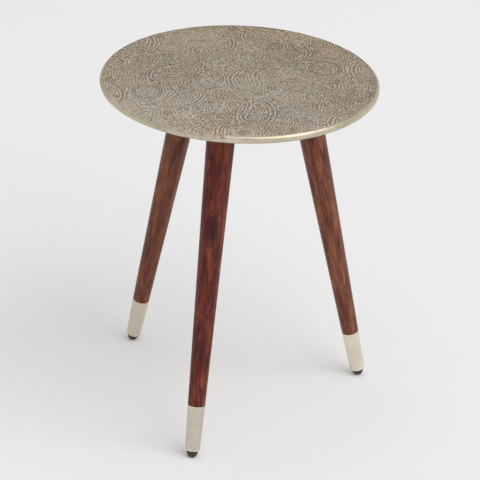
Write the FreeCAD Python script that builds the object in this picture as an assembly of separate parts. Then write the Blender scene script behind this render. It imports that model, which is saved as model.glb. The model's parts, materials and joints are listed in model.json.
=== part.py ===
import FreeCAD, Part  # FreeCAD has to come first

import math
import os

# Round occasional table: a board clad in embossed metal, on three splayed turned legs.
#
# Row frame, in millimetres: +Z is up, the origin lies on the floor under the centre of the top, and the
# front leg points along -Y. Each sub-part is written to parts/NODE.step.
#
# Every piece of a leg is first made upright in the leg's own frame and is then tilted into place. In that
# frame the origin is the lowest point of the foot on the leg's axis, +Z runs up the axis, and +X faces
# away from the middle of the table.

Vec = FreeCAD.Vector
UP = Vec(0, 0, 1)

# ---- driving dimensions -------------------------------------------------------------------------
TABLE_HEIGHT = 510.0
TOP_DIAMETER = 400.0
RIM_HEIGHT = 11.0
LEG_AZIMUTHS = {"front": -90.0, "right": 30.0, "left": 150.0}  # degrees, seen from above
LEG_SPLAY = 13.0  # degrees from the vertical
FOOT_CIRCLE_RADIUS = 208.0  # where the legs' axes meet the floor

# ---- the top: a board with an embossed sheet on it and a plain band folded round its edge ------------
SHEET = 1.2
BAND_EDGE_ROUND = 3.0
BAND_LIP = 3.5  # how far the band reaches in over the board's upper edge
SHEET_TO_BAND = 0.1
HEM_WIDTH = 11.0  # how far the band reaches in under the board
BOARD_TO_BAND = 0.2
NAIL_COUNT = 18
NAIL_HEAD_RADIUS = 1.8
NAIL_HEAD_HEIGHT = 0.9
NAIL_SHANK_RADIUS = 0.7
NAIL_LENGTH = 6.0
NAIL_FIT = 0.03

# ---- leg plates ------------------------------------------------------------------------------------
PLATE_SIZE = 60.0
PLATE_THICKNESS = 2.5
PLATE_CORNER = 8.0
PLATE_HOLE_SPACING = 44.0
BOSS_RADIUS = 15.0
BOSS_DROP = 8.0  # from the board's underside to the leg's end, on the leg's axis
SCREW_HEAD_RADIUS = 3.8
SCREW_SHANK_RADIUS = 1.9
SCREW_LENGTH = 9.5
SCREW_FIT = 0.05
PILOT_END_GAP = 0.4
DRIVE_SLOT_WIDTH = 0.9
DRIVE_SLOT_DEPTH = 0.9
BOLT_POCKET_RADIUS = 7.0
BOLT_POCKET_DEPTH = 6.0

# ---- hanger bolts: machine thread up into the plate, wood thread down into the leg --------------------
BOLT_RADIUS = 4.0
BOLT_ABOVE_LEG = 12.0
BOLT_IN_LEG = 32.0
BOLT_POINT = 5.0
BOLT_POINT_RADIUS = 1.2
BOLT_CHAMFER = 0.8
BOLT_FIT = 0.05

# ---- legs and ferrules, as distances up the leg's axis -------------------------------------------------
LEG_TOP_RADIUS = 21.0
LEG_EDGE_ROUND = 1.5
SHOULDER_RADIUS = 12.6
FERRULE_LENGTH = 69.0
FERRULE_WALL = 1.0
FERRULE_TIP_RADIUS = 10.9  # before its rounded end
FERRULE_TIP_ROUND = 3.2
FERRULE_HOLE_RADIUS = 6.6
GLUE_GAP = 0.05
BORE_END_GAP = 1.0
THREAD_ROOM = 0.4

# ---- screw-adjusted feet ---------------------------------------------------------------------------------
PAD_HEIGHT = 9.0
PAD_DOME_RADIUS = 20.0
PAD_SOLE_RADIUS = 5.8
PAD_TOP_RADIUS = 8.2
PAD_FLARE_HEIGHT = 5.5
PAD_EDGE = 0.6
PAD_TO_FERRULE = 0.3
FOOT_THREAD_RADIUS = 3.0
FOOT_TRAVEL = 10.0
NECK_RADIUS = 2.4
FLANGE_RADIUS = 4.3
FLANGE_HEIGHT = 1.8
FLANGE_BASE = 3.2
HEX_ACROSS_FLATS = 9.0
HEX_HEIGHT = 3.8
RUNNING_FIT = 0.08
END_PLAY = 0.15
INSERT_RADIUS = 4.8
INSERT_LENGTH = 13.0
INSERT_FLANGE_RADIUS = 7.5
INSERT_FLANGE = 1.0
HEX_TO_INSERT = 0.7

# ---- worked out from the driving dimensions ---------------------------------------------------------------
TOP_RADIUS = TOP_DIAMETER / 2
RIM_BOTTOM = TABLE_HEIGHT - RIM_HEIGHT
BOARD_BOTTOM = RIM_BOTTOM + SHEET
BOARD_TOP = TABLE_HEIGHT - SHEET
NAIL_CIRCLE = TOP_RADIUS - HEM_WIDTH / 2
SPLAY = math.radians(LEG_SPLAY)
FOOT_APEX_HEIGHT = PAD_DOME_RADIUS * (1 - math.cos(SPLAY))  # the tilted dome's side touches the floor
FOOT_APEX_RADIUS = FOOT_CIRCLE_RADIUS - FOOT_APEX_HEIGHT * math.tan(SPLAY)
LEG_TOP = (BOARD_BOTTOM - BOSS_DROP - FOOT_APEX_HEIGHT) / math.cos(SPLAY)
PLATE_CENTRE_RADIUS = FOOT_CIRCLE_RADIUS - BOARD_BOTTOM * math.tan(SPLAY)
PILOT_DEPTH = SCREW_LENGTH - PLATE_THICKNESS + PILOT_END_GAP
FERRULE_BOTTOM = PAD_HEIGHT + PAD_TO_FERRULE
FERRULE_TOP = FERRULE_BOTTOM + FERRULE_LENGTH
HEX_BOTTOM = PAD_HEIGHT + 2 * PAD_TO_FERRULE
HEX_TOP = HEX_BOTTOM + HEX_HEIGHT
INSERT_BOTTOM = HEX_TOP + HEX_TO_INSERT
SPIGOT_END = INSERT_BOTTOM + INSERT_FLANGE
INSERT_TOP = SPIGOT_END + INSERT_LENGTH
FOOT_THREAD_TOP = INSERT_TOP + FOOT_TRAVEL  # still fills the insert when the foot is fully out


# ---- helpers -----------------------------------------------------------------------------------------------
def turned(*edges):
    """A closed solid of revolution about Z. Each edge is a point, for a straight line to it, or a pair of
    points, for an arc through the first to the second. Points are (radius, height)."""
    def at(point):
        return Vec(point[0], 0, point[1])

    def end(edge):
        return edge if isinstance(edge[0], (int, float)) else edge[1]

    wires = []
    for last, edge in zip([edges[-1]] + list(edges[:-1]), edges):
        start = at(end(last))
        if end(edge) is edge:
            wires.append(Part.LineSegment(start, at(edge)).toShape())
        else:
            wires.append(Part.Arc(start, at(edge[0]), at(edge[1])).toShape())
    return Part.Face(Part.Wire(wires)).revolve(Vec(), UP, 360)


def corner(centre, radius, start_deg, end_deg):
    """An arc edge for turned(): from start_deg to end_deg about centre, ending at end_deg."""
    def on_arc(degrees):
        a = math.radians(degrees)
        return (centre[0] + radius * math.cos(a), centre[1] + radius * math.sin(a))

    return (on_arc((start_deg + end_deg) / 2), on_arc(end_deg))


def cylinder(radius, bottom, top, x=0.0, y=0.0):
    return Part.makeCylinder(radius, top - bottom, Vec(x, y, bottom), UP)


def cone(radius_bottom, radius_top, bottom, top, x=0.0, y=0.0):
    return Part.makeCone(radius_bottom, radius_top, top - bottom, Vec(x, y, bottom), UP)


def hexagon(across_flats, bottom, top):
    radius = across_flats / math.sqrt(3)
    points = [Vec(radius * math.cos(i * math.pi / 3), radius * math.sin(i * math.pi / 3), bottom)
              for i in range(7)]
    return Part.Face(Part.makePolygon(points)).extrude(Vec(0, 0, top - bottom))


def around(shape, count, first_deg=0.0):
    """Copies of a shape, evenly spaced about Z."""
    copies = []
    for i in range(count):
        copy = shape.copy()
        copy.rotate(Vec(), UP, first_deg + i * 360.0 / count)
        copies.append(copy)
    return copies


def leg_frame(azimuth):
    """The placement that carries the leg's own frame to its place in the table."""
    tilt = FreeCAD.Rotation(Vec(0, 1, 0), -LEG_SPLAY)
    turn = FreeCAD.Rotation(UP, azimuth)
    apex = turn.multVec(Vec(FOOT_APEX_RADIUS, 0, FOOT_APEX_HEIGHT))
    return FreeCAD.Placement(apex, turn.multiply(tilt))


def plate_frame(azimuth):
    """Level, with its origin on the board's underside where the leg's axis meets it, and +X outwards."""
    turn = FreeCAD.Rotation(UP, azimuth)
    return FreeCAD.Placement(turn.multVec(Vec(PLATE_CENTRE_RADIUS, 0, BOARD_BOTTOM)), turn)


def placed(shape, placement):
    moved = shape.copy()
    moved.Placement = placement.multiply(moved.Placement)
    return moved


def leg_radius(height):
    """The leg's outer radius, this far up its axis."""
    share = (height - FERRULE_TOP) / (LEG_TOP - FERRULE_TOP)
    return SHOULDER_RADIUS + share * (LEG_TOP_RADIUS - SHOULDER_RADIUS)


def ferrule_radius(height):
    """The ferrule's outer radius, this far up the leg's axis and above its rounded end."""
    share = (height - FERRULE_BOTTOM) / FERRULE_LENGTH
    return FERRULE_TIP_RADIUS + share * (SHOULDER_RADIUS - FERRULE_TIP_RADIUS)


# ---- the top ---------------------------------------------------------------------------------------------
def nail():
    """A round-headed nail that stands point up, its head under the hem."""
    x = NAIL_CIRCLE
    head = Part.makeSphere(NAIL_HEAD_RADIUS, Vec(x, 0, RIM_BOTTOM))
    flat = NAIL_HEAD_HEIGHT / NAIL_HEAD_RADIUS
    squeeze = FreeCAD.Matrix(1, 0, 0, 0, 0, 1, 0, 0, 0, 0, flat, RIM_BOTTOM * (1 - flat), 0, 0, 0, 1)
    head = head.transformGeometry(squeeze).cut(Part.makeBox(8, 8, 8, Vec(x - 4, -4, RIM_BOTTOM)))
    return head.fuse(cylinder(NAIL_SHANK_RADIUS, RIM_BOTTOM, RIM_BOTTOM + NAIL_LENGTH, x)).removeSplitter()


def nail_holes():
    hole = cylinder(NAIL_SHANK_RADIUS + NAIL_FIT, RIM_BOTTOM - 1, RIM_BOTTOM + NAIL_LENGTH + 0.5, NAIL_CIRCLE)
    return Part.makeCompound(around(hole, NAIL_COUNT))


def top_sheet():
    """The embossed sheet, flat here: its ridges are half a millimetre high at most."""
    return cylinder(TOP_RADIUS - BAND_LIP - SHEET_TO_BAND, BOARD_TOP, TABLE_HEIGHT)


def rim_band():
    """The plain band: a short lip over the board, rounded edges and a hem nailed on underneath."""
    inner = TOP_RADIUS - SHEET
    lip = TOP_RADIUS - BAND_LIP
    hem = TOP_RADIUS - HEM_WIDTH
    upper = (TOP_RADIUS - BAND_EDGE_ROUND, TABLE_HEIGHT - BAND_EDGE_ROUND)
    lower = (TOP_RADIUS - BAND_EDGE_ROUND, RIM_BOTTOM + BAND_EDGE_ROUND)
    band = turned(
        (lip, BOARD_TOP), (lip, TABLE_HEIGHT), (upper[0], TABLE_HEIGHT),
        corner(upper, BAND_EDGE_ROUND, 90, 0),
        (TOP_RADIUS, lower[1]),
        corner(lower, BAND_EDGE_ROUND, 0, -90),
        (hem, RIM_BOTTOM), (hem, BOARD_BOTTOM), (lower[0], BOARD_BOTTOM),
        corner(lower, BAND_EDGE_ROUND - SHEET, -90, 0),
        (inner, upper[1]),
        corner(upper, BAND_EDGE_ROUND - SHEET, 0, 90),
    )
    return band.cut(nail_holes())


def core_board():
    """The board under the sheet and inside the band, with holes for the nails and the plates' screws and a
    pocket for the end of each hanger bolt."""
    radius = TOP_RADIUS - SHEET - BOARD_TO_BAND
    upper = (radius - BAND_EDGE_ROUND, BOARD_TOP - BAND_EDGE_ROUND)
    lower = (radius - BAND_EDGE_ROUND, BOARD_BOTTOM + BAND_EDGE_ROUND)
    board = turned(
        (0, BOARD_BOTTOM), (0, BOARD_TOP), (upper[0], BOARD_TOP),
        corner(upper, BAND_EDGE_ROUND, 90, 0),
        (radius, lower[1]),
        corner(lower, BAND_EDGE_ROUND, 0, -90),
    )
    tools = [nail_holes()]
    for azimuth in LEG_AZIMUTHS.values():
        pocket = cylinder(BOLT_POCKET_RADIUS, -1, BOLT_POCKET_DEPTH)
        pilots = [cylinder(SCREW_SHANK_RADIUS + SCREW_FIT, -1, PILOT_DEPTH, x, y) for x, y in plate_hole_places()]
        tools += [placed(tool, plate_frame(azimuth)) for tool in [pocket] + pilots]
    return board.cut(Part.makeCompound(tools))


# ---- leg plates, in the plate's frame ------------------------------------------------------------------------
def plate_hole_places():
    half = PLATE_HOLE_SPACING / 2
    return [(x, y) for x in (-half, half) for y in (-half, half)]


def leg_plate():
    """A square plate with a slanted boss, tapped along the leg's axis, that the leg seats against."""
    half = PLATE_SIZE / 2
    base = Part.makeBox(PLATE_SIZE, PLATE_SIZE, PLATE_THICKNESS, Vec(-half, -half, -PLATE_THICKNESS))
    upright = [e for e in base.Edges if abs(e.tangentAt(e.FirstParameter).z) > 0.99]
    base = base.makeFillet(PLATE_CORNER, upright)
    axis = Vec(-math.sin(SPLAY), 0, math.cos(SPLAY))
    seat = axis * (-BOSS_DROP / math.cos(SPLAY))
    boss = Part.makeCylinder(BOSS_RADIUS, 2 * BOSS_DROP, seat, axis)
    boss = boss.common(Part.makeBox(80, 80, 40, Vec(-40, -40, -40 - PLATE_THICKNESS / 2)))
    plate = base.fuse(boss).removeSplitter()
    plate = plate.cut(Part.makeCylinder(BOLT_RADIUS + BOLT_FIT, 60, axis * -30, axis))
    for x, y in plate_hole_places():
        plate = plate.cut(cylinder(SCREW_SHANK_RADIUS + SCREW_FIT, -PLATE_THICKNESS - 1, 1, x, y))
        sink = cone(SCREW_HEAD_RADIUS + SCREW_FIT, SCREW_SHANK_RADIUS + SCREW_FIT,
                    -PLATE_THICKNESS, -PLATE_THICKNESS + SCREW_HEAD_RADIUS - SCREW_SHANK_RADIUS, x, y)
        plate = plate.cut(sink)
    return plate


def plate_screw(x, y):
    """A countersunk wood screw, head down, with a cross slot."""
    head_height = SCREW_HEAD_RADIUS - SCREW_SHANK_RADIUS
    bottom = -PLATE_THICKNESS
    tip = bottom + SCREW_LENGTH
    screw = cone(SCREW_HEAD_RADIUS, SCREW_SHANK_RADIUS, bottom, bottom + head_height, x, y)
    screw = screw.fuse(cylinder(SCREW_SHANK_RADIUS, bottom + head_height, tip - 2, x, y))
    screw = screw.fuse(cone(SCREW_SHANK_RADIUS, 0.4, tip - 2, tip, x, y)).removeSplitter()
    long, wide = SCREW_HEAD_RADIUS * 1.1, DRIVE_SLOT_WIDTH
    for dx, dy in ((long, wide), (wide, long)):
        slot = Part.makeBox(dx, dy, 1 + DRIVE_SLOT_DEPTH, Vec(x - dx / 2, y - dy / 2, bottom - 1))
        screw = screw.cut(slot)
    return screw


def plate_screws():
    return Part.makeCompound([plate_screw(x, y) for x, y in plate_hole_places()])


# ---- pieces of one leg, in the leg's frame ---------------------------------------------------------------------
def hanger_bolt():
    top, bottom = LEG_TOP + BOLT_ABOVE_LEG, LEG_TOP - BOLT_IN_LEG
    return turned(
        (0, bottom), (BOLT_POINT_RADIUS, bottom), (BOLT_RADIUS, bottom + BOLT_POINT),
        (BOLT_RADIUS, top - BOLT_CHAMFER), (BOLT_RADIUS - BOLT_CHAMFER, top), (0, top),
    )


def leg():
    """Turned and tapered, with a spigot for the ferrule and bores for the bolt and the foot's insert."""
    def inside_ferrule(height):
        return ferrule_radius(height) - FERRULE_WALL - GLUE_GAP

    rounding = (LEG_TOP_RADIUS - LEG_EDGE_ROUND, LEG_TOP - LEG_EDGE_ROUND)
    body = turned(
        (0, SPIGOT_END), (inside_ferrule(SPIGOT_END), SPIGOT_END), (inside_ferrule(FERRULE_TOP), FERRULE_TOP),
        (SHOULDER_RADIUS, FERRULE_TOP), (leg_radius(rounding[1]), rounding[1]),
        ((rounding[0] + LEG_EDGE_ROUND * 0.7, rounding[1] + LEG_EDGE_ROUND * 0.7), (rounding[0], LEG_TOP)),
        (0, LEG_TOP),
    )
    bolt_bore = cylinder(BOLT_RADIUS + BOLT_FIT, LEG_TOP - BOLT_IN_LEG - BORE_END_GAP, LEG_TOP + 1)
    insert_bore = cylinder(INSERT_RADIUS + GLUE_GAP, SPIGOT_END - 1, INSERT_TOP + BORE_END_GAP)
    thread_room = cylinder(FOOT_THREAD_RADIUS + THREAD_ROOM, SPIGOT_END, FOOT_THREAD_TOP + 3 * BORE_END_GAP)
    return body.cut(Part.makeCompound([bolt_bore, insert_bore, thread_room]))


def ferrule():
    """A tapered metal sleeve with a rounded, nearly closed end."""
    bottom, top, wall = FERRULE_BOTTOM, FERRULE_TOP, FERRULE_WALL
    bend = bottom + FERRULE_TIP_ROUND
    outer = ferrule_radius(bend)
    centre = (outer - FERRULE_TIP_ROUND, bend)
    return turned(
        (FERRULE_HOLE_RADIUS, bottom + wall), (FERRULE_HOLE_RADIUS, bottom), (centre[0], bottom),
        corner(centre, FERRULE_TIP_ROUND, -90, 0),
        (SHOULDER_RADIUS, top), (SHOULDER_RADIUS - wall, top), (outer - wall, bend),
        corner(centre, FERRULE_TIP_ROUND - wall, 0, -90),
    )


def foot_insert():
    """The threaded brass insert in the end of the leg."""
    return turned(
        (FOOT_THREAD_RADIUS + RUNNING_FIT, INSERT_BOTTOM), (INSERT_FLANGE_RADIUS, INSERT_BOTTOM),
        (INSERT_FLANGE_RADIUS, SPIGOT_END), (INSERT_RADIUS, SPIGOT_END),
        (INSERT_RADIUS, INSERT_TOP), (FOOT_THREAD_RADIUS + RUNNING_FIT, INSERT_TOP),
    )


def foot_screw():
    """A screw whose flange turns inside the pad, with a hexagon to turn it by."""
    flange_top = FLANGE_BASE + FLANGE_HEIGHT
    in_hexagon = (HEX_BOTTOM + HEX_TOP) / 2
    spindle = turned(
        (0, FLANGE_BASE), (FLANGE_RADIUS, FLANGE_BASE), (FLANGE_RADIUS, flange_top), (NECK_RADIUS, flange_top),
        (NECK_RADIUS, in_hexagon), (FOOT_THREAD_RADIUS, in_hexagon),
        (FOOT_THREAD_RADIUS, FOOT_THREAD_TOP - BOLT_CHAMFER),
        (FOOT_THREAD_RADIUS - BOLT_CHAMFER, FOOT_THREAD_TOP), (0, FOOT_THREAD_TOP),
    )
    return spindle.fuse(hexagon(HEX_ACROSS_FLATS, HEX_BOTTOM, HEX_TOP)).removeSplitter()


def foot_pad():
    """A domed pad, snapped over the screw's flange, which turns freely inside it."""
    sole = PAD_DOME_RADIUS - math.sqrt(PAD_DOME_RADIUS ** 2 - PAD_SOLE_RADIUS ** 2)
    half = PAD_SOLE_RADIUS / 2
    on_dome = (half, PAD_DOME_RADIUS - math.sqrt(PAD_DOME_RADIUS ** 2 - half ** 2))
    outside = turned(
        (0, PAD_HEIGHT), (0, 0), (on_dome, (PAD_SOLE_RADIUS, sole)),
        (PAD_TOP_RADIUS, PAD_FLARE_HEIGHT), (PAD_TOP_RADIUS, PAD_HEIGHT - PAD_EDGE),
        (PAD_TOP_RADIUS - PAD_EDGE, PAD_HEIGHT),
    )
    flange_room = cylinder(FLANGE_RADIUS + RUNNING_FIT, FLANGE_BASE - END_PLAY,
                           FLANGE_BASE + FLANGE_HEIGHT + END_PLAY)
    neck_room = cylinder(NECK_RADIUS + RUNNING_FIT, FLANGE_BASE, PAD_HEIGHT + 1)
    return outside.cut(flange_room.fuse(neck_room))


# ---- write every node ---------------------------------------------------------------------------------------
def write(node, shape):
    solids = shape.Solids
    if not solids or not all(s.isValid() and s.Volume > 0 for s in solids):
        raise ValueError(f"{node} is not made of valid solids")
    shape = solids[0] if len(solids) == 1 else Part.makeCompound(solids)
    shape.exportStep(f"parts/{node}.step")
    print(f"{node:20s} {len(solids):3d} solids {shape.Volume / 1000:9.2f} cm3")


def main():
    os.makedirs("parts", exist_ok=True)
    write("top_sheet", top_sheet())
    write("rim_band", rim_band())
    write("core_board", core_board())
    write("hem_nails", Part.makeCompound(around(nail(), NAIL_COUNT)))
    leg_pieces = {
        "leg": leg(), "ferrule": ferrule(), "hanger_bolt": hanger_bolt(), "foot_insert": foot_insert(),
        "foot_screw": foot_screw(), "foot_pad": foot_pad(),
    }
    plate_pieces = {"leg_plate": leg_plate(), "plate_screws": plate_screws()}
    for side, azimuth in LEG_AZIMUTHS.items():
        for name, shape in leg_pieces.items():
            write(f"{side}_{name}", placed(shape, leg_frame(azimuth)))
        for name, shape in plate_pieces.items():
            write(f"{side}_{name}", placed(shape, plate_frame(azimuth)))
    print(f"leg {LEG_TOP:.1f} mm up its axis, plates {PLATE_CENTRE_RADIUS:.1f} mm from the centre, "
          f"feet's lowest points on the axis at radius {FOOT_APEX_RADIUS:.3f} mm, height {FOOT_APEX_HEIGHT:.3f} mm")


main()
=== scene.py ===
import json
import math
from collections import namedtuple
from math import tau

import bpy
import numpy as np
from mathutils import Matrix, Vector, noise


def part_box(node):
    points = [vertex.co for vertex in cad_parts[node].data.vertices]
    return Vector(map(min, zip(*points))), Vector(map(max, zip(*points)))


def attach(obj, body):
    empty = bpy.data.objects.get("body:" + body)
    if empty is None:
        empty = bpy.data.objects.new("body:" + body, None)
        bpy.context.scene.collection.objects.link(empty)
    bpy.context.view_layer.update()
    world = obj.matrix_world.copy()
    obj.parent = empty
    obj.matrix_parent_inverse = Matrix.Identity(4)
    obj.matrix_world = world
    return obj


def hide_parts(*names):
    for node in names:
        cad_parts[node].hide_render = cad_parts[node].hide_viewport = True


# Looks for a round occasional table: embossed brass top with a plain brass rim, three turned wooden legs
# with brass ferrules, and screw-adjusted feet. Everything is in metres, in the row frame, except the
# embossing, which is laid out in millimetres.

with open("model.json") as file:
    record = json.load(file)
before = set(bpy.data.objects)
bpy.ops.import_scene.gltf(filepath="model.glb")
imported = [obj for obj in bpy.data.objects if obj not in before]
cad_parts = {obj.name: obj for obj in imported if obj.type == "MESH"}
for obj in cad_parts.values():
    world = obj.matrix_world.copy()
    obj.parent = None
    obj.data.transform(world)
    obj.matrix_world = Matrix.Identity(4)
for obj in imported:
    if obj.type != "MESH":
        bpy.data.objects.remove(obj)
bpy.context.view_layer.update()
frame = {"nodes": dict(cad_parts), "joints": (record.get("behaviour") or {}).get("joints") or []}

MM = 0.001
SIDES = ("front", "right", "left")

sheet_low, sheet_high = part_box("top_sheet")
band_low, band_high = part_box("rim_band")

# ---- the embossed pattern, in millimetres -------------------------------------------------------------
PATTERN_SEED = 5
LINE = 4.5  # from one embossed ridge to the next
RELIEF_HEIGHT = 0.6
RELIEF_PROFILE = 1.8  # above 1, ridges are broad and grooves are narrow
SHEET_RADIUS = sheet_high.x / MM
SHEET_HOLLOWS = 0.05  # half the height of the sheet's slow unevenness
RINGS = 250  # rings of points in the sheet's mesh

PAISLEY_SPACING = 112.0
PAISLEY_SHIFT = 8.0
PAISLEY_LENGTH = 88.0
PAISLEY_HEAD = 25.0
PAISLEY_BELLY = 0.25  # how much wider it is in the middle than a plain drop, as a share
PAISLEY_TAPER = 0.75  # below 1, it keeps its width longer and then narrows quickly
PAISLEY_TIP = 0.6  # added to its radius all along, and all that is left of it at the tail's tip
PAISLEY_CURL = 1.9  # radians that its tail turns through
PAISLEY_CURL_DELAY = 1.5  # above 1, it turns more towards its tail
BEAD_ROW = (1.0, 1.5)  # the flat strip under its row of beads, in lines inwards from its outline
PAISLEY_BAND = (BEAD_ROW[1] + 1) * LINE
NARROWEST_BEADED = 1.3  # a row of beads ends where it comes this close to the drop's spine

SMALLEST_ROSETTE = 3.0
LARGEST_ROSETTE = 32.0
ROSETTE_SHARES = (0.4, 1.0)  # of the largest, the range that each rosette's size is drawn from
ROSETTE_GAP = 0.4 * LINE
ROSETTE_EYE = 0.45 * LINE  # the least radius left for its middle
BASE_LOBES = 5  # and about one more for each LOBE_WIDTH of its radius
LOBE_WIDTH = 5.0
LOBE_DEPTH = 3.2

# the waves that shift each line: height, length divided by tau along x and along y, and start in radians
NO_WAVE = math.inf
WAVES_TO_RIGHT = ((1.4, NO_WAVE, 17, 0.3), (0.9, 11, 23, 0), (0.35, 5.3, 2.6, 0))
WAVES_TO_BACK = ((1.4, 19, NO_WAVE, 1.1), (0.9, -29, 13, 0), (0.35, 2.8, -4.9, 0))

CELL = 9.0  # about how far apart short cuts across the lines are
CUT = 1.1  # half of a cut's width
CUT_DEPTH = 0.55  # the share of the pattern's height that a cut takes away
LAYOUT_GRID = 2.0
OPEN_GROUND = 60.0  # further than this from everything counts as no further


def bump(t):
    """A rounded bump, 1 at t = 0 and 0 from |t| = 1 outwards."""
    return np.where(np.abs(t) < 1, 0.5 + 0.5 * np.cos(math.pi * t), 0.0)


def ridges(t):
    """A rounded ridge halfway between each whole number and the next."""
    return 0.5 - 0.5 * np.cos(tau * t)


def groove(t):
    """A plateau at 1, with a rounded groove down to 0 at t = 0 that is 1 wide on each side."""
    return 1 - bump(t)


def within(t):
    """How far t is from the middle between two whole numbers, as a share of the way to either."""
    return 2 * np.abs(t % 1 - 0.5)


# A rosette is rings of bands. In each, across runs from 0 at its inside to 1, turn from 0 to 1 round the
# circle, and around is the length of its middle line. A band's own sizes are shares of its width.
def line_band(across, turn, around):
    return ridges(across)


def bead_band(across, turn, around):
    flattening = 1.6  # above 1, each bead has a flat top
    along = (turn * np.round(around / LINE)) % 1 - 0.5
    return np.clip(flattening * bump(np.hypot(along * 2, across * 2 - 1)), 0, 1)


def spoke_band(across, turn, around):
    end_slope = 7
    ends = np.clip(end_slope * (0.5 - np.abs(across - 0.5)), 0, 1)
    return ridges(turn * np.round(around / LINE)) * ends


def arch_band(across, turn, around):
    arch_height, line_width = 0.85, 0.25
    dot_height, dot_sharpness = 0.3, (2.2, 3.2)
    along = within(turn * np.round(around / (2 * LINE)))
    arch = arch_height * np.sqrt(np.clip(1 - along ** 2, 0, 1))
    dot = groove(np.hypot(along * dot_sharpness[0], (across - dot_height) * dot_sharpness[1]))
    return np.minimum(groove((across - arch) / line_width), dot)


def petal_band(across, turn, around):
    petal_spacing = 2.6 * LINE
    half_width, bluntness, line_width = 0.85, 0.6, 0.35
    rib_length, rib_width = 0.7, 0.3
    along = within(turn * np.round(around / petal_spacing))
    side = half_width * np.sin(math.pi * np.clip(across, 0, 1)) ** bluntness
    rib = np.where(across < rib_length, groove(along / rib_width), 1)
    return np.minimum(groove((along - side) / line_width), rib)


def wave_band(across, turn, around):
    swing, line_width = 0.28, 0.28
    wave = swing * np.sin(tau * turn * np.round(around / (3 * LINE)))
    return groove((across - 0.5 - wave) / line_width)


# each band's width, in lines, and its shape
BANDS = {
    "line": (1.0, line_band), "bead": (1.0, bead_band), "spoke": (1.7, spoke_band),
    "arch": (2.1, arch_band), "petal": (2.8, petal_band), "wave": (1.6, wave_band),
}
# each kind of rosette, as its bands from the outside in
ROSETTES = (
    ("line", "spoke", "line", "bead", "line", "petal", "line"),
    ("line", "arch", "line", "line", "spoke", "line", "bead"),
    ("line", "bead", "line", "petal", "line", "bead", "line"),
    ("line", "wave", "line", "spoke", "line", "arch", "line"),
    ("line", "petal", "line", "bead", "line", "spoke", "line"),
)
Rosette = namedtuple("Rosette", "x y radius kind phase")


def lobed_distance(rosette, x, y):
    """Distance from a rosette's centre, counted longer between its lobes, and the turn round the centre."""
    out = np.hypot(x - rosette.x, y - rosette.y)
    turn = (np.arctan2(y - rosette.y, x - rosette.x) / tau + rosette.phase) % 1
    lobes = BASE_LOBES + round(rosette.radius / LOBE_WIDTH)
    depth = LOBE_DEPTH / (rosette.radius + LINE)
    return out * (1 + depth * np.sin(lobes * math.pi * turn) ** 2), turn


def rosette_relief(rosette, x, y):
    """A rosette's bands, and plain rings round its eye."""
    out, turn = lobed_distance(rosette, x, y)
    height = np.zeros(len(x))
    edge = rosette.radius
    for band in ROSETTES[rosette.kind]:
        lines, shape = BANDS[band]
        inner = edge - lines * LINE
        if inner < ROSETTE_EYE:
            break
        here = (out >= inner) & (out < edge)
        across = (out[here] - inner) / (edge - inner)
        height[here] = shape(across, turn[here], math.pi * (inner + edge))
        edge = inner
    rings = max(round(edge / LINE - 0.5), 0) + 0.5
    return np.where(out < edge, ridges(rings * out / edge + 0.5), height)


def paisley(cx, cy, heading, curl):
    """Discs along a curling spine, from the round head to the tail's tip. Columns: x, y, radius."""
    share = np.linspace(0, 1, int(PAISLEY_LENGTH / LINE))
    belly = 1 + PAISLEY_BELLY * np.sin(math.pi * share)
    radius = PAISLEY_HEAD * (1 - share) ** PAISLEY_TAPER * belly + PAISLEY_TIP
    direction = heading + curl * share ** PAISLEY_CURL_DELAY
    x = cx + np.cumsum(np.cos(direction)) * LINE
    y = cy + np.cumsum(np.sin(direction)) * LINE
    return np.column_stack([x, y, radius])


def paisley_distance(drop, x, y):
    """How far each point is outside a drop's outline, negative inside it."""
    gap = np.full(len(x), np.inf)
    for cx, cy, radius in drop:
        gap = np.minimum(gap, np.hypot(x - cx, y - cy) - radius)
    return gap


def band_gap(distance):
    """How far a point is from the band just inside a drop's outline, on either side of it."""
    return np.abs(distance + PAISLEY_BAND / 2) - PAISLEY_BAND / 2


def paisley_beads(drop):
    """The middle of each bead in the band: down both sides of a drop, and round its head."""
    x, y, radius = drop.T
    heading = np.arctan2(np.gradient(y), np.gradient(x))
    reach = np.maximum(radius - PAISLEY_BAND / 2, 0)
    beads = []
    for side in (-1, 1):
        row = np.column_stack([x - side * np.sin(heading) * reach, y + side * np.cos(heading) * reach])
        beads.append(row[reach > NARROWEST_BEADED])
    count = round(math.pi * reach[0] / LINE)
    angles = heading[0] + math.pi / 2 + math.pi * np.arange(1, count) / count
    beads.append(np.column_stack([x[0] + reach[0] * np.cos(angles), y[0] + reach[0] * np.sin(angles)]))
    return np.vstack(beads)


def paisley_relief(drop, x, y, distance):
    """The band round a drop: a ridge along each side of it, and beads between them."""
    inward = -distance / LINE
    start, end = BEAD_ROW
    height = np.where(inward < start, ridges(inward), np.where(inward > end, ridges(inward - end), 0))
    for bead_x, bead_y in paisley_beads(drop):
        height = np.maximum(height, bump(2 * np.hypot(x - bead_x, y - bead_y) / LINE))
    return height


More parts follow.
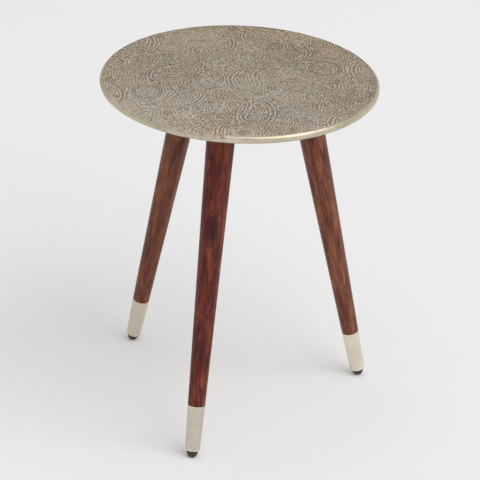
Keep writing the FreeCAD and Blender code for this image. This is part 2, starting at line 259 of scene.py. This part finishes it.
def lay_out_paisleys(random):
    """Drops on a loose honeycomb, each with its own heading and curl."""
    drops = []
    row_height = PAISLEY_SPACING * math.sqrt(3) / 2
    rows = math.ceil((SHEET_RADIUS + PAISLEY_SPACING / 2) / row_height)
    for row in range(-rows, rows + 1):
        for column in range(-rows, rows + 1):
            across = (column + 0.5 * (row % 2)) * PAISLEY_SPACING
            cx = across + random.uniform(-PAISLEY_SHIFT, PAISLEY_SHIFT)
            cy = row * row_height + random.uniform(-PAISLEY_SHIFT, PAISLEY_SHIFT)
            heading = random.uniform(0, tau)
            curl = random.choice([-PAISLEY_CURL, PAISLEY_CURL])
            cx -= math.cos(heading) * PAISLEY_LENGTH / 3  # its head starts behind the honeycomb's point
            cy -= math.sin(heading) * PAISLEY_LENGTH / 3
            if math.hypot(cx, cy) < SHEET_RADIUS + PAISLEY_LENGTH / 2:
                drops.append(paisley(cx, cy, heading, curl))
    return drops


def lay_out(random):
    """The drops that have room, and rosettes that fill the ground between and inside them."""
    side = np.arange(-SHEET_RADIUS - PAISLEY_BAND, SHEET_RADIUS + PAISLEY_BAND, LAYOUT_GRID)
    x, y = [grid.ravel() for grid in np.meshgrid(side, side)]
    free = np.full(len(x), OPEN_GROUND)
    drops = []
    for drop in lay_out_paisleys(random):
        distance = paisley_distance(drop, x, y)
        if free[distance < 0].min(initial=OPEN_GROUND) > ROSETTE_GAP:
            drops.append(drop)
            free = np.minimum(free, band_gap(distance))
    rosettes = []
    while free.max() > SMALLEST_ROSETTE + ROSETTE_GAP:
        spot = free.argmax()
        radius = min(free[spot] - ROSETTE_GAP, random.uniform(*ROSETTE_SHARES) * LARGEST_ROSETTE)
        kind = random.integers(len(ROSETTES))
        rosettes.append(Rosette(x[spot], y[spot], radius, kind, random.uniform()))
        free = np.minimum(free, np.hypot(x - x[spot], y - y[spot]) - radius)
    return drops, rosettes


def wave_sum(waves, x, y):
    """The height at each point of several waves together."""
    return sum(height * np.sin(x / along_x + y / along_y + start)
               for height, along_x, along_y, start in waves)


def waver(x, y):
    """Shifts each point a little, so that the pattern's lines waver as hand-cut ones do."""
    return x + wave_sum(WAVES_TO_RIGHT, x, y), y + wave_sum(WAVES_TO_BACK, x, y)


def cuts(x, y):
    """Shallow cuts along the borders of irregular cells, which break the lines into leaf-like strokes."""
    nearest = [noise.voronoi((a, b, 0))[0][:2] for a, b in zip(x / CELL, y / CELL)]
    first, second = np.array(nearest).T
    to_border = (second - first) * CELL / 2
    return 1 - CUT_DEPTH * bump(to_border / CUT)


def emboss(x, y):
    """The pattern's height at each point, from 0 in a groove to 1 on a ridge."""
    x, y = waver(x, y)
    drops, rosettes = lay_out(np.random.default_rng(PATTERN_SEED))
    gap = np.full(len(x), OPEN_GROUND)
    height = np.zeros(len(x))
    for drop in drops:
        distance = paisley_distance(drop, x, y)
        gap = np.minimum(gap, band_gap(distance))
        band = band_gap(distance) < 0
        height[band] = paisley_relief(drop, x[band], y[band], distance[band])
    for rosette in rosettes:
        distance = lobed_distance(rosette, x, y)[0] - rosette.radius
        gap = np.minimum(gap, distance)
        inside = distance < 0
        height[inside] = rosette_relief(rosette, x[inside], y[inside])
    ground = gap > 0
    height[ground] = ridges(gap[ground] / LINE)
    return height * cuts(x, y)


# ---- meshes -------------------------------------------------------------------------------------------
def new_piece(name, points, faces, material, sharp_deg=50):
    """A smooth-shaded mesh object, with its edges sharper than sharp_deg left crisp."""
    mesh = bpy.data.meshes.new(name)
    mesh.from_pydata(points, [], faces)
    mesh.shade_smooth()
    mesh.set_sharp_from_angle(angle=math.radians(sharp_deg))
    mesh.materials.append(material)
    piece = bpy.data.objects.new(name, mesh)
    bpy.context.scene.collection.objects.link(piece)
    return piece


def first_on_ring(ring):
    """The number of the first point on a ring of a disc. Ring 0 is the point at its centre."""
    return np.where(ring == 0, 0, 1 + 3 * ring * (ring - 1))


def on_ring(ring, sector, step):
    """The number of a point on a ring, some steps on from the start of one of its six sectors."""
    return first_on_ring(ring) + (sector * ring + step) % max(6 * ring, 1)


def disc_points(rings, radius):
    """A point at the centre, then rings of 6, 12, 18 ... points, as columns x and y."""
    ring = np.repeat(np.arange(1, rings + 1), 6 * np.arange(1, rings + 1))
    place = np.arange(1, len(ring) + 1) - first_on_ring(ring)
    angle = tau * place / (6 * ring)
    out = radius * ring / rings
    return np.append(0, out * np.cos(angle)), np.append(0, out * np.sin(angle))


def disc_triangles(rings):
    """Six sectors between each ring and the next, of triangles that point in and out by turns."""
    triangles = []
    for ring in range(1, rings + 1):
        step = np.arange(ring)
        for sector in range(6):
            outer, outer_after = on_ring(ring, sector, step), on_ring(ring, sector, step + 1)
            inner, inner_after = on_ring(ring - 1, sector, step), on_ring(ring - 1, sector, step + 1)
            triangles.append(np.column_stack([outer, outer_after, inner]))
            triangles.append(np.column_stack([inner, outer_after, inner_after])[:-1])
    return np.concatenate(triangles).tolist()


def embossed_sheet(material):
    """The top sheet, embossed all over, with a flat underside on the board."""
    x, y = disc_points(RINGS, SHEET_RADIUS)
    hollows = SHEET_HOLLOWS * (np.sin(x / 47 + 0.6) * np.sin(y / 39 + 1.9) - 1)
    relief = RELIEF_HEIGHT * (1 - emboss(x, y)) ** RELIEF_PROFILE
    z = sheet_high.z / MM + hollows - relief
    upper = np.column_stack([x, y, z]) * MM
    edge_count = 6 * RINGS
    lower = upper[-edge_count:].copy()
    lower[:, 2] = sheet_low.z
    lower_centre = [[0, 0, sheet_low.z]]
    upper_count = len(upper)
    first_edge = upper_count - edge_count
    centre = upper_count + edge_count
    faces = disc_triangles(RINGS)
    for i in range(edge_count):
        after = (i + 1) % edge_count
        faces.append([first_edge + i, upper_count + i, upper_count + after, first_edge + after])
        faces.append([upper_count + after, upper_count + i, centre])
    points = np.concatenate([upper, lower, lower_centre]).tolist()
    return new_piece("embossed_sheet", points, faces, material)


def arc_points(centre, across, up, start_deg, end_deg, steps=6):
    """Points on part of an ellipse with half-axes across and up."""
    angles = [math.radians(start_deg + (end_deg - start_deg) * i / steps) for i in range(steps + 1)]
    return [(centre[0] + across * math.cos(a), centre[1] + up * math.sin(a)) for a in angles]


BULGE = 4.0 * MM  # how far the band's outside swells between its top and bottom edges
HEM_WIDTH = 11.0 * MM
LIP_GAP = 0.1 * MM
BAND_STEPS = 360  # round the table
OUTSIDE_STEPS = 16  # down the band's outside
# the waves that make the band look beaten: height in mm, number round the table, where each starts, and
# how far it twists on the way up, both in radians
BEATEN_WAVES = ((0.10, 7, 0.7, 0), (0.07, 13, 2.1, 2), (0.05, 23, 4.0, -3))
LIP_TURN = 1.3  # radians from the waves in and out to the waves up and down
HEM_SHARE = 0.05  # below this share of the band's height it keeps its radius
LIP_SHARE = 0.95  # above this share it waves up and down too


def beaten(angle, share):
    """A slow unevenness round the band, in metres; share is how far up the band."""
    return MM * sum(height * math.sin(count * angle + start + twist * share)
                    for height, count, start, twist in BEATEN_WAVES)


def band_outside():
    """The band's swollen outside, from its top edge to its bottom edge, as (radius, height)."""
    middle = (band_high.z + band_low.z) / 2
    centre = (band_high.x - BULGE, middle)
    return arc_points(centre, BULGE, band_high.z - middle, 90, -90, OUTSIDE_STEPS)


def band_inside():
    """The hem, the inside and the lip, from under the board round to the sheet's edge."""
    thickness = sheet_high.z - sheet_low.z
    outer, top, bottom = band_high.x, band_high.z, band_low.z
    lip = sheet_high.x + LIP_GAP
    hem = outer - HEM_WIDTH
    corner = BULGE - thickness
    return ([(hem, bottom), (hem, bottom + thickness)]
            + arc_points((outer - BULGE, bottom + BULGE), corner, corner, -90, 0)
            + arc_points((outer - BULGE, top - BULGE), corner, corner, 0, 90)
            + [(lip, top - thickness), (lip, top)])


def band_point(angle, radius, height, is_outside):
    """A point of the band's section, beaten in or out and turned round the table."""
    share = (height - band_low.z) / (band_high.z - band_low.z)
    if is_outside and share > HEM_SHARE:
        radius += beaten(angle, share)
    if share > LIP_SHARE:
        height += beaten(LIP_TURN + angle, 0) / 2
    return (radius * math.cos(angle), radius * math.sin(angle), height)


def rim_band(material):
    """The plain band, a little uneven all round, with its lip on top and its hem underneath."""
    section = [(*point, True) for point in band_outside()] + [(*point, False) for point in band_inside()]
    count = len(section)
    points = []
    faces = []
    for i in range(BAND_STEPS):
        angle = tau * i / BAND_STEPS
        points += [band_point(angle, *place) for place in section]
        here, after = i * count, (i + 1) % BAND_STEPS * count
        for j in range(count):
            k = (j + 1) % count
            faces.append((here + j, here + k, after + k, after + j))
    return new_piece("plain_rim_band", points, faces, material, sharp_deg=40)


# ---- the legs' own frames: +Z up the leg's axis, +X away from the middle of the table -----------------
def leg_matrix(side):
    joint = next(j for j in frame["joints"] if j["name"] == f"{side}_foot_turn")
    up = -Vector(joint["axis"]).normalized()
    foot = Vector(joint["pos_m"])
    outwards = Vector((foot.x, foot.y, 0))
    outwards = (outwards - up * outwards.dot(up)).normalized()
    turn = Matrix((outwards, up.cross(outwards), up)).transposed().to_quaternion()
    return Matrix.LocRotScale(foot, turn, None)


def along_leg(side, node):
    """A node's lowest and highest place up the leg's axis."""
    to_leg = leg_matrix(side).inverted()
    heights = [(to_leg @ vertex.co).z for vertex in frame["nodes"][node].data.vertices]
    return min(heights), max(heights)


# ---- materials ----------------------------------------------------------------------------------------
NOISE_RANGE = (0.3, 0.7)  # most of a noise texture's values are in it


class Finish:
    """A material's nodes. Apart from set, feed and add, each method adds nodes and gives an output."""

    def __init__(self, name, **shader):
        self.material = bpy.data.materials.new(name)
        self.material.use_nodes = True
        self.nodes = self.material.node_tree.nodes
        self.links = self.material.node_tree.links
        self.shader = self.nodes["Principled BSDF"]
        self.set(**shader)

    def set(self, **inputs):
        """Sets inputs of the shader by their names in Blender, written as base_color or coat_weight."""
        for name, value in inputs.items():
            self.feed(self.shader.inputs[name.replace("_", " ").title().replace("Ior", "IOR")], value)

    def feed(self, socket, value):
        """Links an output to a socket, or sets the socket to a number or colour."""
        if isinstance(value, bpy.types.NodeSocket):
            self.links.new(value, socket)
        elif socket.type == "RGBA":
            socket.default_value = (*value, 1.0)
        else:
            socket.default_value = value

    def add(self, kind, inputs, **settings):
        """Adds a node; inputs are keyed by name, or by number where two have the same name."""
        node = self.nodes.new(kind)
        for name, value in settings.items():
            setattr(node, name, value)
        for name, value in inputs.items():
            self.feed(node.inputs[name], value)
        return node

    def scaled(self, place, scale):
        """A place stretched or shrunk along each axis."""
        return self.add("ShaderNodeMapping", {"Vector": place, "Scale": scale}).outputs[0]

    def place(self, scale=(1, 1, 1)):
        """A point's place in the row frame."""
        return self.scaled(self.nodes.new("ShaderNodeTexCoord").outputs["Object"], scale)

    def leg_place(self, side, scale=(1, 1, 1)):
        """A point's place in a leg's own frame."""
        point = self.nodes.new("ShaderNodeTexCoord").outputs["Object"]
        matrix = leg_matrix(side)
        inputs = {"Vector": point, "Location": matrix.to_translation(), "Rotation": matrix.to_euler()}
        return self.scaled(self.add("ShaderNodeMapping", inputs, vector_type="TEXTURE").outputs[0], scale)

    def drawn_out(self, place, share):
        """A place with its height shrunk, which draws a pattern out along the leg."""
        return self.scaled(place, (1, 1, share))

    def from_point(self, place, point):
        """A place as measured from a point."""
        return self.add("ShaderNodeMapping", {"Vector": place, "Location": -point}).outputs[0]

    def noise(self, place, scale, detail=3.0, roughness=0.55, distortion=0.0):
        inputs = {"Vector": place, "Scale": scale, "Detail": detail, "Roughness": roughness,
                  "Distortion": distortion}
        return self.add("ShaderNodeTexNoise", inputs).outputs["Fac"]

    def ramp(self, value, stops):
        """Colours along a value. Each stop is (value, colour): lowest, highest, then any between."""
        ramp = self.add("ShaderNodeValToRGB", {"Fac": value})
        elements = ramp.color_ramp.elements  # a new ramp has two, at its ends
        for i, (at, colour) in enumerate(stops):
            element = elements[i] if i < 2 else elements.new(at)
            element.position = at
            element.color = (*colour, 1.0)
        return ramp.outputs["Color"]

    def span(self, value, low, high, to_low=0.0, to_high=1.0):
        """Maps low..high to to_low..to_high, held at both ends."""
        inputs = {"Value": value, "From Min": low, "From Max": high, "To Min": to_low, "To Max": to_high}
        return self.add("ShaderNodeMapRange", inputs).outputs["Result"]

    def vary(self, noise_value, low, high):
        """Maps a noise's usual range to low..high."""
        return self.span(noise_value, *NOISE_RANGE, low, high)

    def math(self, operation, *values):
        return self.add("ShaderNodeMath", dict(enumerate(values)), operation=operation).outputs[0]

    def vector_math(self, operation, inputs):
        return self.add("ShaderNodeVectorMath", inputs, operation=operation)

    def mix(self, share, first, second, blend="MIX"):
        """Mixes two colours."""
        node = self.add("ShaderNodeMix", {"Factor": share}, data_type="RGBA", blend_type=blend)
        colours = [socket for socket in node.inputs if socket.type == "RGBA"]
        self.feed(colours[0], first)
        self.feed(colours[1], second)
        return next(socket for socket in node.outputs if socket.type == "RGBA")

    def height_of(self, place, axis="Z"):
        return self.add("ShaderNodeSeparateXYZ", {"Vector": place}).outputs[axis]

    def length(self, place):
        return self.vector_math("LENGTH", {0: place}).outputs["Value"]

    def bumps(self, height, distance, strength=1.0, under=None):
        """A bumpy normal; under is one that it adds to."""
        inputs = {"Height": height, "Distance": distance, "Strength": strength}
        if under is not None:
            inputs["Normal"] = under
        return self.add("ShaderNodeBump", inputs).outputs["Normal"]


RUBBED_DEPTH = 0.08 * MM  # how far below the highest ridge the sheet is still fully rubbed
WARM_FROM_RADIUS = 0.12
# where the painted light and cooler tint towards the front begin and end, along y
LIT_AND_COOL_FROM_Y = 0.05
LIT_AND_COOL_TO_Y = -0.18


def embossed_brass():
    """Antiqued brass: rubbed pale on the ridges, dark in the grooves, warmer in patches towards the edge,
    with a cooler tint and painted light that make it paler towards the front."""
    finish = Finish("embossed_brass", metallic=1.0)
    place = finish.place()
    grooves = sheet_high.z - (RELIEF_HEIGHT + SHEET_HOLLOWS) * MM
    relief = finish.span(finish.height_of(place), grooves, sheet_high.z - RUBBED_DEPTH)
    worn = finish.math("ADD", relief, finish.vary(finish.noise(place, scale=45, detail=4), -0.05, 0.05))
    colour = finish.ramp(worn, [
        (0.1, (0.20, 0.148, 0.106)), (1.0, (0.65, 0.565, 0.452)), (0.5, (0.45, 0.375, 0.285))])
    edge = finish.span(finish.length(finish.place((1, 1, 0))), WARM_FROM_RADIUS, sheet_high.x)
    patches = finish.math("MULTIPLY", edge, finish.span(finish.noise(place, scale=9, detail=3), 0.35, 0.65))
    warm = finish.mix(0.55, colour, (1.12, 0.98, 0.72), "MULTIPLY")
    colour = finish.mix(patches, colour, warm)
    hue = finish.noise(place, scale=32, detail=4, roughness=0.6)
    bloom = finish.ramp(hue, [(0.38, (1.02, 0.99, 0.98)), (0.62, (0.98, 1.0, 1.02))])
    colour = finish.mix(1.0, colour, bloom, "MULTIPLY")
    # painted light: towards the front the colour is made paler, with a cooler tint as well
    front = finish.span(finish.height_of(place, "Y"), LIT_AND_COOL_FROM_Y, LIT_AND_COOL_TO_Y)
    grain = finish.noise(place, scale=1300, detail=2)
    finish.set(base_color=finish.mix(front, colour, (1.17, 1.20, 1.29), "MULTIPLY"),
               roughness=finish.span(worn, 0.0, 1.0, 0.55, 0.3),
               normal=finish.bumps(grain, distance=0.1 * MM, strength=0.35))
    return finish.material


def rim_brass():
    """Plain polished brass, hand-rubbed, with brown patina in patches and specks."""
    finish = Finish("rim_brass", metallic=1.0)
    place = finish.place()
    clouds = finish.noise(place, scale=14, detail=4, roughness=0.6)
    colour = finish.ramp(clouds, [(0.3, (0.47, 0.40, 0.28)), (0.7, (0.69, 0.63, 0.51))])
    patina = finish.noise(finish.place((1, 1, 2.5)), scale=95, detail=5, roughness=0.7)
    patchy = finish.span(finish.noise(place, scale=5, detail=2), 0.55, 0.40, 0.35, 1.0)
    specks = finish.math("MULTIPLY", finish.span(patina, 0.52, 0.66), patchy)
    dents = finish.noise(place, scale=90, detail=3)
    finish.set(base_color=finish.mix(specks, colour, (0.35, 0.25, 0.15)),
               roughness=finish.span(patina, 0.3, 0.75, 0.34, 0.48),
               normal=finish.bumps(dents, distance=0.4 * MM, strength=0.25))
    return finish.material


# each ferrule's brass where it is darkest, and how much lighter it is elsewhere
# painted light: each side's brass has its own brightness, the right ferrule lightest and the front one
# darkest, as lit and shaded copies of one brass
FERRULES = {"front": (0.58, 0.535, 0.45), "left": (0.65, 0.58, 0.475), "right": (0.72, 0.665, 0.545)}
FERRULE_LIGHTER = 1.16


def ferrule_brass(side):
    """Satin pale brass with faint rings from turning, and painted highlights along both edges."""
    finish = Finish(f"{side}_ferrule_brass", metallic=1.0)
    bottom, top = along_leg(side, f"{side}_ferrule")
    place = finish.leg_place(side)
    turned = finish.noise(finish.leg_place(side, (0.05, 0.05, 1)), scale=900, detail=3)
    clouds = finish.noise(place, scale=40, detail=4, roughness=0.6)
    dark = FERRULES[side]
    light = [part * FERRULE_LIGHTER for part in dark]
    colour = finish.ramp(clouds, [(0.3, dark), (0.7, light)])
    height = finish.height_of(place)
    # painted highlights: a pale band along the ferrule's top edge and along its bottom edge
    upper_highlight = finish.span(height, top - 1.2 * MM, top - 0.5 * MM)
    lower_highlight = finish.span(height, bottom + 4 * MM, bottom + 1 * MM)
    wear_and_highlight = finish.math("MAXIMUM", upper_highlight, lower_highlight)
    finish.set(base_color=finish.mix(wear_and_highlight, colour, (0.86, 0.82, 0.70)),
               roughness=finish.vary(clouds, 0.28, 0.38),
               normal=finish.bumps(turned, distance=0.05 * MM, strength=0.3))
    return finish.material


LEG_RADIUS_LOW = 12.6 * MM  # at the ferrule
LEG_RADIUS_HIGH = 21.0 * MM  # at the top
# Each leg's wood. A knot's turn is in degrees round the leg from its outside, and its share is how far up
# the leg it is.
Wood = namedtuple("Wood", "dark middle light knot_turn knot_share")
# the legs' woods differ in tone; the right leg's lighter wood is partly painted light
WOODS = {
    "front": Wood((0.034, 0.008, 0.008), (0.115, 0.018, 0.013), (0.30, 0.080, 0.036), 13, 0.61),
    "left": Wood((0.048, 0.016, 0.012), (0.152, 0.046, 0.026), (0.30, 0.108, 0.052), 127, 0.82),
    "right": Wood((0.050, 0.016, 0.012), (0.165, 0.052, 0.030), (0.35, 0.130, 0.066), 60, 0.4),
}
KNOT_BENDS = 26 * MM  # how far from a knot the grain is still bent
KNOT_HALO = 14 * MM
KNOT_EYE = 5 * MM
KNOT_BLACK = (0.025, 0.009, 0.007)
JOINT_BLACK = (0.02, 0.01, 0.008)


def knot_place(side):
    """Where the knot is on a leg's surface, in the leg's own frame."""
    turn, share = math.radians(WOODS[side].knot_turn), WOODS[side].knot_share
    bottom, top = along_leg(side, f"{side}_ferrule")[1], along_leg(side, f"{side}_leg")[1]
    reach = LEG_RADIUS_LOW + (LEG_RADIUS_HIGH - LEG_RADIUS_LOW) * share
    return Vector((reach * math.cos(turn), reach * math.sin(turn), bottom + share * (top - bottom)))


def bend_round_knot(finish, place, side):
    """Pushes the grain outwards from the knot. Gives the distance from it, and the pushed place."""
    from_knot = finish.from_point(place, knot_place(side))
    distance = finish.length(finish.drawn_out(from_knot, 0.5))
    push = finish.span(distance, 0.0, KNOT_BENDS, 0.5, 0.0)
    shift = finish.vector_math("SCALE", {0: from_knot, "Scale": push}).outputs[0]
    return distance, finish.vector_math("SUBTRACT", {0: place, 1: shift}).outputs[0]


def leg_wood(side):
    """Oiled hardwood: mottled, with streaks along the leg, pores, and one knot that bends the grain."""
    finish = Finish(f"{side}_leg_wood", coat_weight=0.08, coat_roughness=0.2, specular_ior_level=0.16)
    wood = WOODS[side]
    place = finish.leg_place(side)
    from_knot, bent = bend_round_knot(finish, place, side)
    streaks = finish.noise(finish.drawn_out(bent, 0.12), scale=85, detail=6, roughness=0.68, distortion=1.6)
    mottle = finish.noise(finish.drawn_out(bent, 0.45), scale=62, detail=5, roughness=0.65, distortion=0.8)
    fine = finish.noise(finish.drawn_out(bent, 0.04), scale=520, detail=4, roughness=0.6)
    pores = finish.noise(finish.drawn_out(bent, 0.08), scale=2000, detail=2)
    figure = finish.math("ADD", streaks, finish.vary(mottle, -0.11, 0.11))
    colour = finish.ramp(figure, [(0.30, wood.dark), (0.74, wood.light), (0.48, wood.middle)])
    colour = finish.mix(finish.span(fine, 0.48, 0.72, 0.0, 0.5), colour, wood.dark)
    colour = finish.mix(finish.span(pores, 0.58, 0.73, 0.0, 0.6), colour, wood.dark)
    uneven = finish.math("ADD", from_knot, finish.vary(mottle, -3 * MM, 3 * MM))
    colour = finish.mix(finish.span(uneven, KNOT_EYE, KNOT_HALO, 0.75, 0.0), colour, wood.dark)
    colour = finish.mix(finish.span(uneven, 1.5 * MM, KNOT_EYE, 0.85, 0.0), colour, KNOT_BLACK)
    bottom = along_leg(side, f"{side}_ferrule")[1]
    joint_line = finish.span(finish.height_of(place), bottom + 0.3 * MM, bottom + 1.6 * MM, 0.8, 0.0)
    grain = finish.bumps(fine, distance=0.25 * MM, strength=0.35)
    finish.set(base_color=finish.mix(joint_line, colour, JOINT_BLACK),
               roughness=finish.vary(fine, 0.34, 0.5),
               normal=finish.bumps(pores, distance=0.1 * MM, strength=0.4, under=grain))
    return finish.material


def board_wood():
    """Pressed wood board, with fine chips and stains."""
    finish = Finish("core_wood")
    chips = finish.noise(finish.place(), scale=420, detail=4, roughness=0.7)
    stains = finish.noise(finish.place(), scale=12, detail=3)
    colour = finish.ramp(chips, [(0.3, (0.20, 0.125, 0.07)), (0.7, (0.46, 0.32, 0.19))])
    finish.set(base_color=finish.mix(finish.span(stains, 0.4, 0.7, 0.0, 0.4), colour, (0.25, 0.16, 0.09)),
               roughness=finish.vary(chips, 0.7, 0.9),
               normal=finish.bumps(chips, distance=0.2 * MM, strength=0.4))
    return finish.material


def black_paint():
    """Powder-coated steel with a fine orange peel, rubbed in places."""
    finish = Finish("plate_paint")
    peel = finish.noise(finish.place(), scale=900, detail=2)
    wear_and_highlight = finish.noise(finish.place(), scale=70, detail=5, roughness=0.7)
    finish.set(base_color=finish.ramp(wear_and_highlight, [(0.45, (0.016, 0.016, 0.017)), (0.8, (0.06, 0.058, 0.055))]),
               roughness=finish.vary(wear_and_highlight, 0.38, 0.58),
               normal=finish.bumps(peel, distance=0.08 * MM, strength=0.5))
    return finish.material


def plated_steel():
    """Zinc-plated steel with a mottled, slightly yellow bloom."""
    finish = Finish("plated_steel", metallic=1.0)
    bloom = finish.noise(finish.place(), scale=260, detail=4, roughness=0.6)
    finish.set(base_color=finish.ramp(bloom, [(0.3, (0.42, 0.40, 0.34)), (0.7, (0.68, 0.68, 0.66))]),
               roughness=finish.vary(bloom, 0.25, 0.45),
               normal=finish.bumps(bloom, distance=0.05 * MM, strength=0.4))
    return finish.material


def small_brass(name, dark, light):
    """Brass for nails and inserts, tarnished in patches."""
    finish = Finish(name, metallic=1.0)
    tarnish = finish.noise(finish.place(), scale=180, detail=4, roughness=0.65)
    finish.set(base_color=finish.ramp(tarnish, [(0.35, dark), (0.7, light)]),
               roughness=finish.vary(tarnish, 0.5, 0.28),
               normal=finish.bumps(tarnish, distance=0.06 * MM, strength=0.5))
    return finish.material


def pad_plastic():
    """Dark brown moulded plastic, scuffed a little lighter."""
    finish = Finish("pad_plastic")
    scuffs = finish.noise(finish.place(), scale=240, detail=5, roughness=0.7)
    grain = finish.noise(finish.place(), scale=2600, detail=2)
    finish.set(base_color=finish.ramp(scuffs, [(0.4, (0.022, 0.013, 0.010)), (0.8, (0.075, 0.050, 0.038))]),
               roughness=finish.vary(scuffs, 0.42, 0.62),
               normal=finish.bumps(grain, distance=0.05 * MM, strength=0.5))
    return finish.material


def give(material, *nodes):
    """Puts a material on CAD nodes."""
    for node in nodes:
        slots = frame["nodes"][node].data.materials
        slots.clear()
        slots.append(material)


def dress():
    """Gives every CAD node that stays in sight its material."""
    steel = plated_steel()
    plastic = pad_plastic()
    insert = small_brass("insert_brass", (0.42, 0.30, 0.12), (0.78, 0.62, 0.34))
    paint = black_paint()
    give(board_wood(), "core_board")
    give(small_brass("nail_brass", (0.36, 0.25, 0.10), (0.80, 0.66, 0.38)), "hem_nails")
    for side in SIDES:
        give(leg_wood(side), f"{side}_leg")
        give(ferrule_brass(side), f"{side}_ferrule")
        give(paint, f"{side}_leg_plate")
        give(steel, f"{side}_plate_screws", f"{side}_hanger_bolt", f"{side}_foot_screw")
        give(insert, f"{side}_foot_insert")
        give(plastic, f"{side}_foot_pad")


# ---- floor, light and camera --------------------------------------------------------------------------
FLOOR_SIZE = 24.0
FLOOR_GREY = 0.88
WORLD_STRENGTH = 0.70
LAMP_PLACE = Vector((6.4, -2.7, 7.2))
LAMP_TARGET = Vector((0, 0, 0.3))
LAMP_SIZE = 11.0
LAMP_POWER = 510
CAMERA_TARGET = Vector((0.0094, 0.0022, 0.2513))
CAMERA_AZIMUTH_DEG = -76.87
CAMERA_ELEVATION_DEG = 26.98
CAMERA_DISTANCE = 4.061
CAMERA_ROLL_DEG = 2.345
CAMERA_LENS = 207.1


def add_floor():
    half = FLOOR_SIZE / 2
    corners = [(-half, -half, 0), (half, -half, 0), (half, half, 0), (-half, half, 0)]
    mesh = bpy.data.meshes.new("floor")
    mesh.from_pydata(corners, [], [(0, 1, 2, 3)])
    floor = bpy.data.objects.new("floor", mesh)
    bpy.context.scene.collection.objects.link(floor)
    paper = Finish("floor_paper", base_color=(FLOOR_GREY,) * 3, roughness=0.9, specular_ior_level=0.1)
    mesh.materials.append(paper.material)


def add_world():
    """An even white room, shown without a tone curve."""
    world = bpy.data.worlds.new("studio")
    world.use_nodes = True
    background = world.node_tree.nodes["Background"]
    background.inputs["Color"].default_value = (1.0, 1.0, 1.0, 1.0)
    background.inputs["Strength"].default_value = WORLD_STRENGTH
    bpy.context.scene.world = world
    bpy.context.scene.view_settings.view_transform = "Standard"


def add_lamp():
    """One large soft lamp, to the right of the camera."""
    light = bpy.data.lights.new("key", "AREA")
    light.shape = "DISK"
    light.size = LAMP_SIZE
    light.energy = LAMP_POWER
    lamp = bpy.data.objects.new("key", light)
    lamp.location = LAMP_PLACE
    lamp.rotation_euler = (LAMP_TARGET - LAMP_PLACE).to_track_quat("-Z", "Y").to_euler()
    bpy.context.scene.collection.objects.link(lamp)


def add_camera():
    azimuth = math.radians(CAMERA_AZIMUTH_DEG)
    elevation = math.radians(CAMERA_ELEVATION_DEG)
    level = math.cos(elevation)
    away = Vector((math.cos(azimuth) * level, math.sin(azimuth) * level, math.sin(elevation)))
    turn = (-away).to_track_quat("-Z", "Y").to_matrix().to_4x4()
    roll = Matrix.Rotation(math.radians(CAMERA_ROLL_DEG), 4, "Z")
    data = bpy.data.cameras.new("camera")
    data.lens = CAMERA_LENS
    camera = bpy.data.objects.new("camera", data)
    camera.matrix_world = Matrix.Translation(CAMERA_TARGET + away * CAMERA_DISTANCE) @ turn @ roll
    bpy.context.scene.collection.objects.link(camera)
    bpy.context.scene.camera = camera


def build():
    sheet = embossed_sheet(embossed_brass())
    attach(sheet, "table")
    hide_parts("top_sheet")
    band = rim_band(rim_brass())
    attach(band, "table")
    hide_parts("rim_band")
    dress()
    add_floor()
    add_world()
    add_lamp()
    add_camera()


build()
